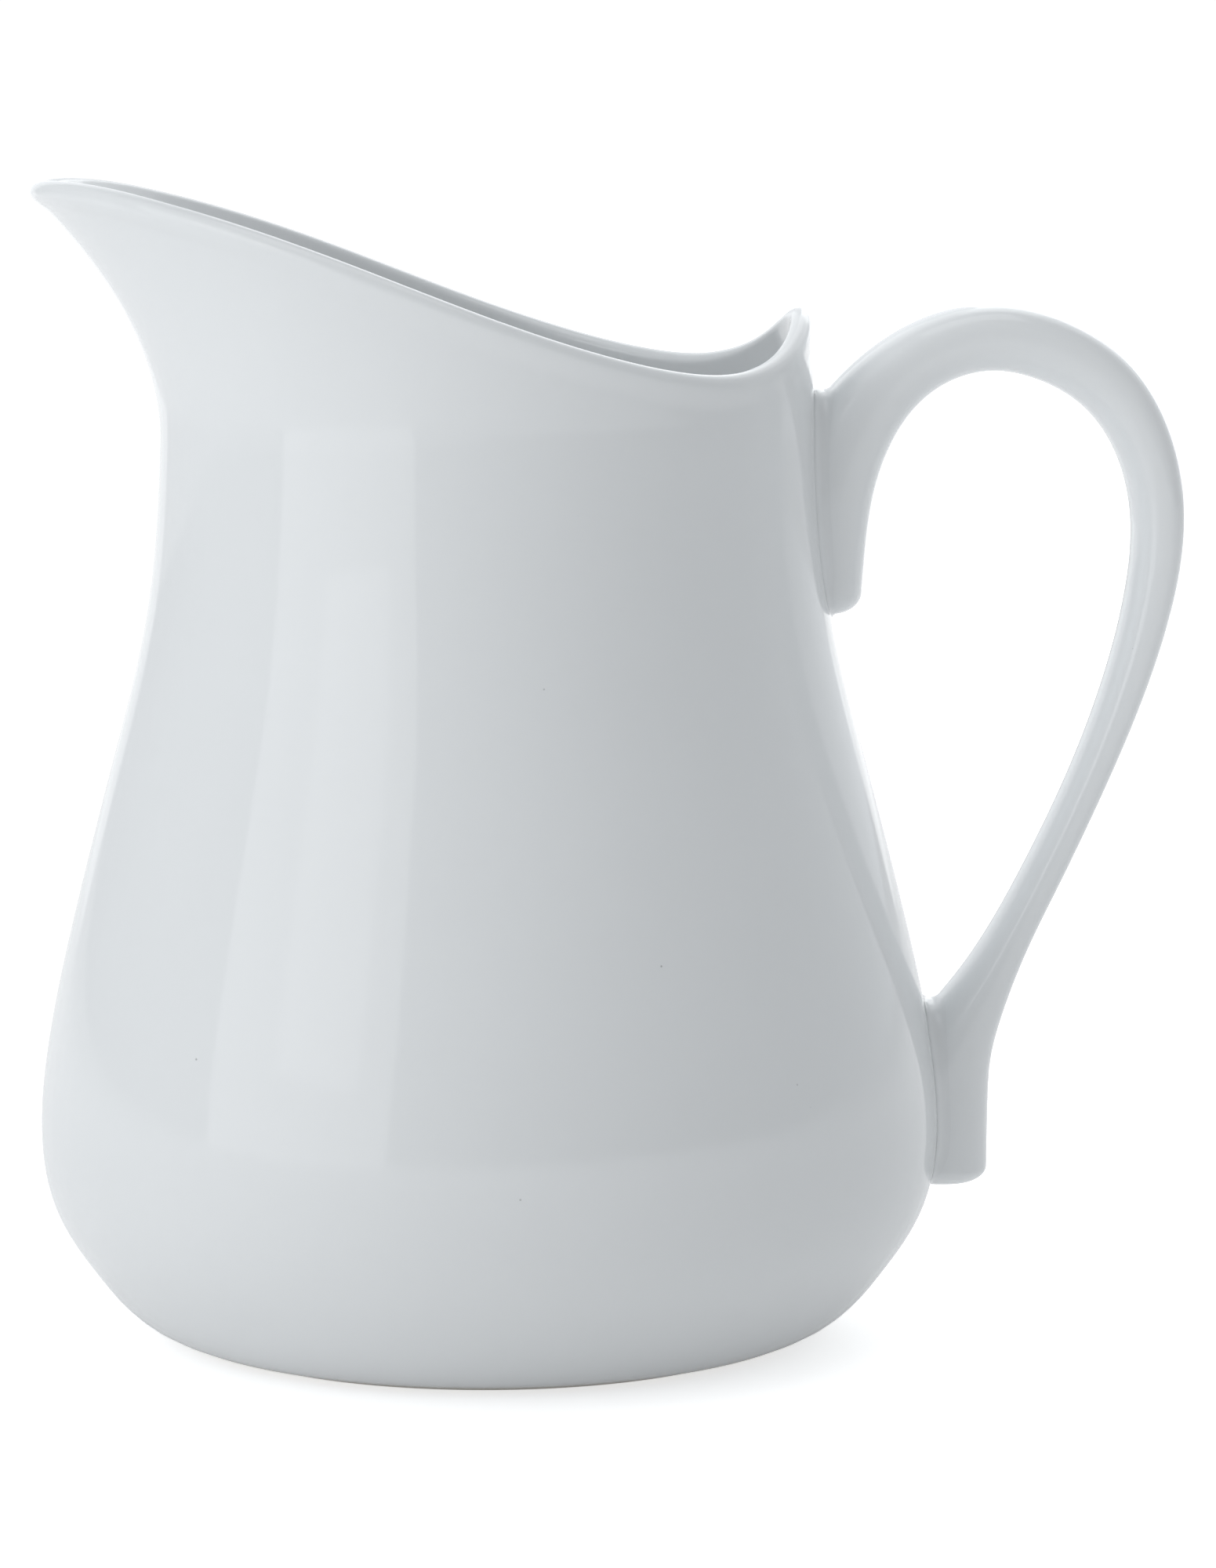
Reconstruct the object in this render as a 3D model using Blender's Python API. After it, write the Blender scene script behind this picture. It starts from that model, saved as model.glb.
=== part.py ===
"""White glazed pitcher: a slip-cast jug with a pulled spout and a raised thumb
tab, and a separately cast loop handle stuck on with two beads of slip.

Units are metres, +Z is up, the spout points to -X and the handle to +X.
The foot stands on Z = 0 and the outline is centred on the origin.
"""
import math

import bpy
import numpy as np

# Where the axis of the round body stands, so that spout and handle balance
AXIS_X = -0.0213

# Outside of the round body: height above the table, radius
BELLY = (
    (0.0000, 0.0528),
    (0.0015, 0.0573),
    (0.0050, 0.0634),
    (0.0110, 0.0688),
    (0.0200, 0.0748),
    (0.0330, 0.0781),
    (0.0500, 0.0770),
    (0.0750, 0.0717),
    (0.1000, 0.0652),
    (0.1250, 0.0592),
    (0.1450, 0.0570),
    (0.1600, 0.0564),
)

# Underside and foot ring, from the centre outwards: radius, height
FOOT = (
    (0.0200, 0.0022),
    (0.0380, 0.0021),
    (0.0462, 0.0018),
    (0.0478, 0.0013),
    (0.0485, 0.0004),
    (0.0489, 0.0000),
    (0.0522, 0.0000),
    (0.0527, 0.0004),
    (0.0532, 0.0008),
    (0.0545, 0.00105),
)
UNDERSIDE_CENTRE = 0.0022

# Wall and floor
WALL = 0.0032
WALL_EXTRA_LOW = 0.0009
WALL_EXTRA_TOP = 0.0300
FLOOR_TOP = 0.0049
FLOOR_RADII = (0.0500, 0.0340, 0.0170)
INNER_START = 0.0030

# Rim: lowest beside the thumb tab, rising to the spout
FLARE_START = 0.1550
RIM_LOW = 0.1658
RIM_RISE = 0.0323
RISE_FROM = math.radians(40.0)
RISE_TO = math.radians(174.4)
TIP_DIP = 0.0012
TIP_DIP_FROM = math.radians(150.0)
TAB_HEIGHT = 0.0103
TAB_SPREAD = math.radians(26.8)
RIM_RADIUS_BACK = 0.0556
RIM_RADIUS_SIDE = 0.0570
SPOUT_REACH = 0.0777
SPOUT_TAPER = 5.0
LIP_ROLL = 0.00045
LIP_ROLL_DEPTH = 0.0042

# Handle path in the middle plane, from the end of the upper tongue, over the
# loop, to the end of the lower one: distance from body axis, height,
# thickness, width
HANDLE = (
    (0.0580, 0.1295, 0.0134, 0.0206),
    (0.0582, 0.1390, 0.0147, 0.0212),
    (0.0590, 0.1472, 0.0156, 0.0212),
    (0.0624, 0.1560, 0.0146, 0.0202),
    (0.0680, 0.1636, 0.0128, 0.0192),
    (0.0763, 0.1698, 0.0117, 0.0184),
    (0.0870, 0.1725, 0.0115, 0.0180),
    (0.0975, 0.1704, 0.0113, 0.0177),
    (0.1072, 0.1642, 0.0107, 0.0174),
    (0.1139, 0.1536, 0.0096, 0.0171),
    (0.1164, 0.1400, 0.0087, 0.0168),
    (0.1149, 0.1266, 0.0079, 0.0165),
    (0.1106, 0.1112, 0.0070, 0.0160),
    (0.1036, 0.0935, 0.0063, 0.0156),
    (0.0965, 0.0785, 0.0064, 0.0158),
    (0.0910, 0.0678, 0.0070, 0.0168),
    (0.0855, 0.0574, 0.0098, 0.0188),
    (0.0803, 0.0462, 0.0148, 0.0208),
    (0.0790, 0.0375, 0.0164, 0.0214),
    (0.0787, 0.0280, 0.0168, 0.0210),
)
OUTER_FACE_POWER = 3.0
FINGER_FACE_POWER = 2.4
UPPER_END_LENGTH = 0.0048
UPPER_END_POWER = 2.4
LOWER_END_LENGTH = 0.0039
LOWER_END_POWER = 2.1
UPPER_JOINT = (0.120, 0.166)
LOWER_JOINT = (0.020, 0.060)

# Slip beads: radius beside the tongue, at its free end and in the crotch
CLEARANCE = 0.0003
BEAD_SIDE = 0.0030
UPPER_BEAD_END = 0.0010
UPPER_BEAD_CROTCH = 0.0021
LOWER_BEAD_END = 0.0009
LOWER_BEAD_CROTCH = 0.0023
BEAD_END_SHARE = 0.25
BEAD_CROTCH_SHARE = 0.30
BEAD_POINTS = 52
BEAD_ARC = (0.15, 0.38, 0.62, 0.85)

# Mesh density
SEGMENTS = 60
SEGMENT_CROWDING = 0.12
FLARE_RINGS = 6
ROLL_LEVELS = (0.64, 0.30, 0.0)
LIP_STEPS = 5
BELLY_LEVELS = (
    0.0015, 0.003, 0.005, 0.008, 0.011, 0.0155, 0.020, 0.0265, 0.033,
    0.0400, 0.0470, 0.0540, 0.062, 0.074, 0.087, 0.100, 0.112, 0.122,
    0.1300, 0.1380, 0.1470, 0.155,
)
HANDLE_STATIONS = 58
HANDLE_END_STEPS = 5
END_CAP_SHARE = 0.35
HANDLE_POINTS = 24
OUTLINE_STATIONS = 420
OUTLINE_POINTS = 120
CUTTER_SEGMENTS = 120
CUTTER_STEP = 0.003
CUTTER_RANGE = (0.012, 0.172)
SHARP_ANGLE = math.radians(50.0)
SLOPE_STEP = 1e-4

PORCELAIN = (0.86, 0.87, 0.875)
PORCELAIN_HANDLE = (0.87, 0.875, 0.88)
SLIP_WHITE = (0.84, 0.85, 0.86)
GLAZE_ROUGHNESS = 0.08
SLIP_ROUGHNESS = 0.10


def spline(knots, values):
    """Smooth curve through the values, with free ends."""
    knots = np.asarray(knots, float)
    values = np.asarray(values, float)
    columns = values.reshape(len(knots), -1)
    gaps = np.diff(knots)
    count = len(knots)
    system = np.eye(count)
    target = np.zeros_like(columns)
    for i in range(1, count - 1):
        system[i, i - 1:i + 2] = gaps[i - 1], 2 * (gaps[i - 1] + gaps[i]), gaps[i]
        rise_after = (columns[i + 1] - columns[i]) / gaps[i]
        rise_before = (columns[i] - columns[i - 1]) / gaps[i - 1]
        target[i] = 6 * (rise_after - rise_before)
    bend = np.linalg.solve(system, target)

    def at(where):
        where = np.atleast_1d(np.asarray(where, float))
        index = np.clip(np.searchsorted(knots, where, side="right") - 1, 0, count - 2)
        gap = gaps[index][:, None]
        ahead = (where - knots[index])[:, None] / gap
        behind = 1 - ahead
        result = behind * columns[index] + ahead * columns[index + 1]
        result += gap ** 2 / 6 * (behind ** 3 - behind) * bend[index]
        result += gap ** 2 / 6 * (ahead ** 3 - ahead) * bend[index + 1]
        return result[:, 0] if values.ndim == 1 else result

    return at


body_radius_at = spline([z for z, _ in BELLY], [r for _, r in BELLY])


def body_radius(height):
    return body_radius_at(np.minimum(height, BELLY[-1][0]))


def ease(fraction):
    return 0.5 - 0.5 * np.cos(math.pi * np.clip(fraction, 0.0, 1.0))


def rim_height(angle):
    height = RIM_LOW + RIM_RISE * ease((angle - RISE_FROM) / (RISE_TO - RISE_FROM))
    height += TAB_HEIGHT * np.exp(-(angle / TAB_SPREAD) ** 2)
    return height - TIP_DIP * ease((angle - TIP_DIP_FROM) / (math.pi - TIP_DIP_FROM))


def rim_radius(angle):
    side = np.sin(np.minimum(angle, math.pi / 2)) ** 2
    base = RIM_RADIUS_BACK + (RIM_RADIUS_SIDE - RIM_RADIUS_BACK) * side
    return base + (SPOUT_REACH - base) * (0.5 - 0.5 * np.cos(angle)) ** SPOUT_TAPER


def segment_angles():
    even = np.arange(SEGMENTS) * 2 * math.pi / SEGMENTS
    return even - SEGMENT_CROWDING * np.sin(2 * even)


def outer_profiles(angles):
    """Radius, height and lip roll of every outer ring, one column per segment."""
    folded = np.abs((angles + math.pi) % (2 * math.pi) - math.pi)
    levels = np.array(BELLY_LEVELS)[:, None] * np.ones(len(angles))
    radii = body_radius(levels.ravel()).reshape(levels.shape)
    top = rim_height(folded)
    flare = rim_radius(folded) - body_radius(top)
    upright = 1 / np.hypot(1, 2 * flare / (top - FLARE_START))
    depth = LIP_ROLL_DEPTH * upright
    share = np.arange(1, FLARE_RINGS + 1)[:, None] / FLARE_RINGS
    flare_z = np.vstack([FLARE_START + share * (top - depth - FLARE_START),
                         top - depth * np.array(ROLL_LEVELS)[:, None]])
    share = (flare_z - FLARE_START) / (top - FLARE_START)
    flare_r = body_radius(flare_z.ravel()).reshape(flare_z.shape)
    flare_r += (flare - LIP_ROLL * upright) * share ** 2
    roll = np.vstack([0 * levels, LIP_ROLL * ease(1 - (top - flare_z) / depth)])
    return np.vstack([radii, flare_r]), np.vstack([levels, flare_z]), roll


def inward_normals(radii, heights):
    run = np.gradient(radii, axis=0)
    rise = np.gradient(heights, axis=0)
    length = np.hypot(run, rise)
    return -rise / length, run / length


def body_rings():
    """All rings of the jug wall, from the underside, over the lip, to the floor."""
    angles = segment_angles()
    ones = np.ones(len(angles))
    radii, heights, roll = outer_profiles(angles)
    inward_r, inward_z = inward_normals(radii, heights)
    rings = [(r * ones, z * ones) for r, z in FOOT]
    rings += list(zip(radii - roll * inward_r, heights - roll * inward_z))
    middle_r = radii[-1] + (WALL - LIP_ROLL) / 2 * inward_r[-1]
    middle_z = heights[-1] + (WALL - LIP_ROLL) / 2 * inward_z[-1]
    for step in range(1, LIP_STEPS):
        turn = math.pi * step / LIP_STEPS
        out_share = -math.cos(turn) * (WALL + LIP_ROLL) / 2
        up_share = math.sin(turn) * (WALL + LIP_ROLL) / 2
        ring_r = middle_r + out_share * inward_r[-1] + up_share * inward_z[-1]
        ring_z = middle_z + out_share * inward_z[-1] - up_share * inward_r[-1]
        rings.append((ring_r, ring_z))

    thickness = WALL + WALL_EXTRA_LOW * (1 - ease(heights / WALL_EXTRA_TOP))
    inner_r = radii + thickness * inward_r
    inner_z = heights + thickness * inward_z
    keep = heights[:, 0] >= INNER_START
    rings += list(zip(inner_r[keep][::-1], inner_z[keep][::-1]))
    rings += [(r * ones, FLOOR_TOP * ones) for r in FLOOR_RADII]
    return angles, rings


def build_body(material):
    angles, rings = body_rings()
    vertices = [(AXIS_X, 0.0, UNDERSIDE_CENTRE)]
    for radii, heights in rings:
        for radius, height, angle in zip(radii, heights, angles):
            vertices.append((AXIS_X + radius * math.cos(angle), radius * math.sin(angle), height))
    vertices.append((AXIS_X, 0.0, FLOOR_TOP))
    faces = tube_faces(len(rings), len(angles), 1)
    faces += fan_faces(0, 1, len(angles), True)
    faces += fan_faces(len(vertices) - 1, 1 + (len(rings) - 1) * len(angles), len(angles), False)
    return add_object("jug_body", vertices, faces, material)


def tube_faces(rings, points, start):
    faces = []
    for ring in range(rings - 1):
        for point in range(points):
            following = (point + 1) % points
            low = start + ring * points
            high = low + points
            faces.append((low + point, low + following, high + following, high + point))
    return faces


def fan_faces(centre, start, points, reverse):
    faces = []
    for point in range(points):
        pair = (start + point, start + (point + 1) % points)
        faces.append((centre, pair[1], pair[0]) if reverse else (centre, pair[0], pair[1]))
    return faces


def add_object(name, vertices, faces, material):
    mesh = bpy.data.meshes.new(name)
    mesh.from_pydata([tuple(map(float, v)) for v in vertices], [], faces)
    mesh.update()
    mesh.shade_smooth()
    mesh.set_sharp_from_angle(angle=SHARP_ANGLE)
    if material:
        mesh.materials.append(material)
    obj = bpy.data.objects.new(name, mesh)
    bpy.context.scene.collection.objects.link(obj)
    return obj


def handle_stations(count, end_steps):
    """Centre, tangent, thickness, width for every cross-section, ends included."""
    rows = np.array(HANDLE)
    knots = np.concatenate([[0.0], np.cumsum(np.hypot(*np.diff(rows[:, :2], axis=0).T))])
    at = spline(knots, rows)
    where = np.linspace(0.0, knots[-1], count)
    rows = at(where)
    tangent = at(where + SLOPE_STEP)[:, :2] - at(where - SLOPE_STEP)[:, :2]
    tangent /= np.hypot(*tangent.T)[:, None]
    steps = np.sin(np.arange(1, end_steps + 1) / (end_steps + END_CAP_SHARE) * math.pi / 2)
    first = end_rows(rows[0], -tangent[0], steps, UPPER_END_LENGTH, UPPER_END_POWER)
    last = end_rows(rows[-1], tangent[-1], steps, LOWER_END_LENGTH, LOWER_END_POWER)
    tangents = np.vstack([np.tile(tangent[0], (end_steps, 1)), tangent,
                          np.tile(tangent[-1], (end_steps, 1))])
    return np.vstack([first[::-1], rows, last]), tangents


def end_rows(row, direction, steps, length, power):
    """Shrinking cross-sections that round off one end of the handle."""
    scale = (1 - steps ** power) ** (1 / power)
    centres = row[:2] + direction * (length * steps)[:, None]
    return np.column_stack([centres, row[2] * scale, row[3] * scale])


def handle_sections(count, end_steps, points, grow):
    """Grid of points on the handle skin: station, point around, XYZ."""
    rows, tangents = handle_stations(count, end_steps)
    turn = np.arange(points) * 2 * math.pi / points
    power = np.where(np.cos(turn) > 0, OUTER_FACE_POWER, FINGER_FACE_POWER)
    across = np.sign(np.cos(turn)) * np.abs(np.cos(turn)) ** (2 / power)
    along_y = np.sign(np.sin(turn)) * np.abs(np.sin(turn)) ** (2 / power)
    outward = np.column_stack([-tangents[:, 1], tangents[:, 0]])
    half_t = (rows[:, 2] / 2 + grow)[:, None] * across
    half_w = (rows[:, 3] / 2 + grow)[:, None] * along_y
    x = rows[:, 0:1] + outward[:, 0:1] * half_t
    z = rows[:, 1:2] + outward[:, 1:2] * half_t
    return np.stack([x + AXIS_X, half_w, z], axis=-1)


def build_handle(material):
    grid = handle_sections(HANDLE_STATIONS, HANDLE_END_STEPS, HANDLE_POINTS, 0.0)[:, ::-1]
    rings, points = grid.shape[:2]
    vertices = [tuple(grid[0].mean(axis=0))]
    vertices += [tuple(p) for p in grid.reshape(-1, 3)]
    vertices.append(tuple(grid[-1].mean(axis=0)))
    faces = tube_faces(rings, points, 1)
    faces += fan_faces(0, 1, points, True)
    faces += fan_faces(len(vertices) - 1, 1 + (rings - 1) * points, points, False)
    handle = add_object("handle", vertices, faces, material)
    cutter = build_cutter()
    cut = handle.modifiers.new("seat_on_body", "BOOLEAN")
    cut.operation = "DIFFERENCE"
    cut.solver = "EXACT"
    cut.object = cutter
    return handle


def build_cutter():
    """Solid of the jug's outside, a hair larger, that hollows the handle seats."""
    levels = np.arange(CUTTER_RANGE[0], CUTTER_RANGE[1], CUTTER_STEP)
    radii = body_radius(levels) + CLEARANCE
    angles = np.arange(CUTTER_SEGMENTS) * 2 * math.pi / CUTTER_SEGMENTS
    vertices = [(AXIS_X, 0.0, levels[0])]
    for radius, level in zip(radii, levels):
        for angle in angles:
            vertices.append((AXIS_X + radius * math.cos(angle), radius * math.sin(angle), level))
    vertices.append((AXIS_X, 0.0, levels[-1]))
    faces = tube_faces(len(levels), CUTTER_SEGMENTS, 1)
    faces += fan_faces(0, 1, CUTTER_SEGMENTS, True)
    last_ring = 1 + (len(levels) - 1) * CUTTER_SEGMENTS
    faces += fan_faces(len(vertices) - 1, last_ring, CUTTER_SEGMENTS, False)
    cutter = add_object("seat_cutter", vertices, faces, None)
    cutter.hide_render = True
    cutter.display_type = "WIRE"
    return cutter


def wall_normal(point):
    above = float(body_radius(point[2] + SLOPE_STEP)[0])
    below = float(body_radius(point[2] - SLOPE_STEP)[0])
    slope = (above - below) / (2 * SLOPE_STEP)
    flat = math.hypot(point[0] - AXIS_X, point[1])
    normal = np.array([(point[0] - AXIS_X) / flat, point[1] / flat, -slope])
    return normal / np.linalg.norm(normal)


def on_wall(point, gap):
    """The same point moved level onto the jug's outer wall, plus a gap."""
    flat = math.hypot(point[0] - AXIS_X, point[1])
    radius = float(body_radius(point[2])[0]) + gap
    return np.array([AXIS_X + (point[0] - AXIS_X) * radius / flat, point[1] * radius / flat, point[2]])


def seat_outline(zone):
    """Closed line where the handle skin meets the wall, with the skin normals."""
    grid = handle_sections(OUTLINE_STATIONS, OUTLINE_STATIONS // 10, OUTLINE_POINTS, CLEARANCE)
    along = np.gradient(grid, axis=0)
    around = (np.roll(grid, -1, axis=1) - np.roll(grid, 1, axis=1)) / 2
    normals = np.cross(along, around)
    gaps = np.hypot(grid[..., 0] - AXIS_X, grid[..., 1])
    gaps -= body_radius(grid[..., 2].ravel()).reshape(gaps.shape) + CLEARANCE
    near, far = [], []
    half = OUTLINE_POINTS // 2
    for station in range(len(grid)):
        if not zone[0] < grid[station, :, 2].mean() < zone[1]:
            continue
        for j in range(half):
            if (gaps[station, j] < 0) == (gaps[station, j + 1] < 0):
                continue
            share = gaps[station, j] / (gaps[station, j] - gaps[station, j + 1])
            point = (1 - share) * grid[station, j] + share * grid[station, j + 1]
            normal = (1 - share) * normals[station, j] + share * normals[station, j + 1]
            normal = normal / np.linalg.norm(normal)
            near.append(np.concatenate([point, normal]))
            far.append(np.concatenate([point, normal]) * (1, -1, 1, 1, -1, 1))
            break
    if near[0][2] < near[-1][2]:
        near, far = near[::-1], far[::-1]
    loop = np.array(near + far[::-1])
    steps = np.linalg.norm(np.diff(np.vstack([loop, loop[:1]])[:, :3], axis=0), axis=1)
    length = np.concatenate([[0.0], np.cumsum(steps)])
    closed = np.vstack([loop, loop[:1]])
    where = (np.arange(BEAD_POINTS) + 0.5) / BEAD_POINTS * length[-1]
    return np.column_stack([np.interp(where, length, closed[:, k]) for k in range(6)])


def bead_radius(height, zone, end_radius, crotch_radius):
    share = np.clip((height - zone[0]) / (zone[1] - zone[0]), 0.0, 1.0)
    low = end_radius + (BEAD_SIDE - end_radius) * ease(share / BEAD_END_SHARE)
    high = crotch_radius + (BEAD_SIDE - crotch_radius) * ease((1 - share) / BEAD_CROTCH_SHARE)
    return min(float(low), float(high))


def bead_section(corner, skin, radius):
    """Cross-section of the slip bead: two seated legs and a hollow arc."""
    wall = wall_normal(corner)
    centre = corner + radius * (wall + skin) / (1 + float(wall @ skin))
    arc = []
    for share in BEAD_ARC:
        blend = wall * math.cos(share * math.pi / 2) + skin * math.sin(share * math.pi / 2)
        arc.append(centre - radius * blend / np.linalg.norm(blend))
    foot = on_wall(arc[0], CLEARANCE)
    depth = float((arc[-1] - corner) @ skin)
    head = arc[-1] - skin * depth
    return [corner, foot] + arc + [head]


def build_bead(name, zone, end_radius, crotch_radius, material):
    outline = seat_outline(zone)
    low = outline[:, 2].min()
    high = outline[:, 2].max()
    vertices = []
    for row in outline:
        radius = bead_radius(row[2], (low, high), end_radius, crotch_radius)
        vertices += bead_section(row[:3], row[3:] / np.linalg.norm(row[3:]), radius)
    size = len(BEAD_ARC) + 3
    faces = tube_faces(len(outline), size, 0)
    last = (len(outline) - 1) * size
    for point in range(size):
        following = (point + 1) % size
        faces.append((last + point, last + following, following, point))
    return add_object(name, vertices, faces, material)


def make_material(name, colour, roughness):
    material = bpy.data.materials.new(name)
    material.use_nodes = True
    shader = material.node_tree.nodes["Principled BSDF"]
    shader.inputs["Base Color"].default_value = (*colour, 1.0)
    shader.inputs["Roughness"].default_value = roughness
    shader.inputs["Metallic"].default_value = 0.0
    return material


def main():
    for obj in list(bpy.data.objects):
        bpy.data.objects.remove(obj)
    build_body(make_material("glazed_porcelain", PORCELAIN, GLAZE_ROUGHNESS))
    build_handle(make_material("glazed_handle", PORCELAIN_HANDLE, GLAZE_ROUGHNESS))
    build_bead("upper_slip_bead", UPPER_JOINT, UPPER_BEAD_END, UPPER_BEAD_CROTCH,
               make_material("glazed_slip_upper", SLIP_WHITE, SLIP_ROUGHNESS))
    build_bead("lower_slip_bead", LOWER_JOINT, LOWER_BEAD_END, LOWER_BEAD_CROTCH,
               make_material("glazed_slip_lower", SLIP_WHITE, SLIP_ROUGHNESS))


main()
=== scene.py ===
"""White glazed pitcher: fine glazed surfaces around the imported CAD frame.

Units are metres, +Z is up, the spout points to -X and the handle to +X.
"""
import math

import bpy
import numpy as np
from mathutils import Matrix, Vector
from mathutils.bvhtree import BVHTree


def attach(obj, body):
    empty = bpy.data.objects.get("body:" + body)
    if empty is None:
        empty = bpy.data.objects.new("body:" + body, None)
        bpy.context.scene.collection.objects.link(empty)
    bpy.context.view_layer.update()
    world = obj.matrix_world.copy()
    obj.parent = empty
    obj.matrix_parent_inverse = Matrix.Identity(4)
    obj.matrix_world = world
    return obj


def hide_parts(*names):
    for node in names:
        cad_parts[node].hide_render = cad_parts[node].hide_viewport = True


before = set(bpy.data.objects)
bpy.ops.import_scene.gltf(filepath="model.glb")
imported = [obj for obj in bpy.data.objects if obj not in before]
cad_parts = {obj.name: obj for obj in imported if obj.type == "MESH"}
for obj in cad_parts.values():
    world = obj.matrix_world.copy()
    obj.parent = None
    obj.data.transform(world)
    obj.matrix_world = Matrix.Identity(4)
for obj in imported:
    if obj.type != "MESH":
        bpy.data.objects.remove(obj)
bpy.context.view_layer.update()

AXIS_X = -0.0213

# Outside of the round body: height above the table, radius
BELLY = (
    (0.0000, 0.0528),
    (0.0015, 0.0573),
    (0.0050, 0.0634),
    (0.0110, 0.0688),
    (0.0200, 0.0748),
    (0.0330, 0.0781),
    (0.0500, 0.0770),
    (0.0750, 0.0717),
    (0.1000, 0.0652),
    (0.1250, 0.0592),
    (0.1450, 0.0570),
    (0.1600, 0.0564),
)

# Underside and foot ring, from the centre outwards: radius, height
FOOT = (
    (0.0200, 0.0022),
    (0.0380, 0.0021),
    (0.0462, 0.0018),
    (0.0478, 0.0013),
    (0.0485, 0.0004),
    (0.0489, 0.0000),
    (0.0522, 0.0000),
    (0.0527, 0.0004),
    (0.0532, 0.0008),
    (0.0545, 0.00105),
)
UNDERSIDE_CENTRE = 0.0022
BARE_RINGS = (3, 9)

WALL = 0.0032
WALL_EXTRA_LOW = 0.0009
WALL_EXTRA_TOP = 0.0300
FLOOR_TOP = 0.0049
FLOOR_RADII = (0.0500, 0.0340, 0.0170)
INNER_START = 0.0030

FLARE_START = 0.1550
RIM_LOW = 0.1658
RIM_RISE = 0.0323
RISE_FROM = math.radians(40.0)
RISE_TO = math.radians(174.4)
TIP_DIP = 0.0012
TIP_DIP_FROM = math.radians(150.0)
TAB_HEIGHT = 0.0103
TAB_SPREAD = math.radians(26.8)
RIM_RADIUS_BACK = 0.0556
RIM_RADIUS_SIDE = 0.0570
SPOUT_REACH = 0.0777
SPOUT_TAPER = 5.0
LIP_ROLL = 0.00045
LIP_ROLL_DEPTH = 0.0042

# Handle path: distance from body axis, height, thickness, width
HANDLE = (
    (0.0580, 0.1295, 0.0134, 0.0206),
    (0.0582, 0.1390, 0.0147, 0.0212),
    (0.0590, 0.1472, 0.0156, 0.0212),
    (0.0624, 0.1560, 0.0146, 0.0202),
    (0.0680, 0.1636, 0.0128, 0.0192),
    (0.0763, 0.1698, 0.0117, 0.0184),
    (0.0870, 0.1725, 0.0115, 0.0180),
    (0.0975, 0.1704, 0.0113, 0.0177),
    (0.1072, 0.1642, 0.0107, 0.0174),
    (0.1139, 0.1536, 0.0096, 0.0171),
    (0.1164, 0.1400, 0.0087, 0.0168),
    (0.1149, 0.1266, 0.0079, 0.0165),
    (0.1106, 0.1112, 0.0070, 0.0160),
    (0.1036, 0.0935, 0.0063, 0.0156),
    (0.0965, 0.0785, 0.0064, 0.0158),
    (0.0910, 0.0678, 0.0070, 0.0168),
    (0.0855, 0.0574, 0.0098, 0.0188),
    (0.0803, 0.0462, 0.0148, 0.0208),
    (0.0790, 0.0375, 0.0164, 0.0214),
    (0.0787, 0.0280, 0.0168, 0.0210),
)
OUTER_FACE_POWER = 3.0
FINGER_FACE_POWER = 2.4
UPPER_END_LENGTH = 0.0048
UPPER_END_POWER = 2.4
LOWER_END_LENGTH = 0.0039
LOWER_END_POWER = 2.1

# Fillets of slip: radius beside the tongue, and the shares of its length that it
# takes to reach that radius from the free end and from the crotch
BEAD_SIDE = 0.0030
BEAD_END_SHARE = 0.25
BEAD_CROTCH_SHARE = 0.30

# Seats: middle height, half height, half width, radius at the end and in the crotch
UPPER_SEAT = (0.1425, 0.018, 0.011, 0.0010, 0.0021)
LOWER_SEAT = (0.0390, 0.015, 0.011, 0.0009, 0.0023)

# Fillet mesh: points along and across, depth of its hidden edges and how far it bites in
FILLET_POINTS = 320
FILLET_STEPS = 14
FILLET_SINK = 0.0005
EDGE_BITE = 0.00002

# Mesh density
BODY_SEGMENTS = 240
SEGMENT_CROWDING = 0.12
BELLY_RINGS = 74
FLARE_RINGS = 28
ROLL_RINGS = 10
LIP_STEPS = 14
HANDLE_STATIONS = 330
HANDLE_END_STEPS = 20
HANDLE_POINTS = 72
END_CAP_SHARE = 0.35

# Depth of the handle's hidden seats in the wall, and the angle of a sharp edge
SEAT_DEPTH = 0.0004
SHARP_ANGLE = math.radians(40.0)

# Searches for the fillets: handle stations, end steps and points of the fine skin
FINE_SKIN = (800, 60, 220)
SLOPE_STEP = 1e-4
WALL_STEPS = 6
CORNER_RANGE = (0.2, 1.9)
CORNER_STEPS = 24
BALL_STEPS = 14
SMALLEST_GAP = 1e-5
SMOOTHING_PASSES = 4
NORMAL_LAG = 0.6

# Glaze: linear colours, roughness range, height of the slow ripple in metres
BODY_COLOUR = (0.80, 0.82, 0.83)
# The handle's colour is the body's made lighter: painted light standing in for light shining through
# the thin handle.
HANDLE_PAINTED_LIGHT_COLOUR = (0.84, 0.86, 0.87)
# The slip's colour is lifted half as far: painted light bridging the body and the handle's painted
# light.
SLIP_HALF_PAINTED_LIGHT_COLOUR = (0.82, 0.84, 0.85)
GLAZE_ROUGHNESS = (0.05, 0.09)
BODY_RIPPLE = 0.00006
HANDLE_RIPPLE = 0.00005
SLIP_RIPPLE = 0.00003
GLAZE_IOR = 1.52
TONE_RANGE = (0.975, 1.01)
SPECK_EDGE = (0.010, 0.022)
SPECK_COLOUR = (0.46, 0.47, 0.48, 1)
PEEL_DEPTH = 0.00002
PIT_DEPTH = 0.00008

# Bare porcelain of the foot ring
BARE_DARK = (0.66, 0.64, 0.60, 1)
BARE_PALE = (0.80, 0.78, 0.74, 1)
BARE_ROUGHNESS = 0.72
GRAIN_DEPTH = 0.00005

# Sockets of a colour mix node
MIX_SHARE, MIX_FIRST, MIX_SECOND, MIX_RESULT = 0, 6, 7, 2

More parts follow.
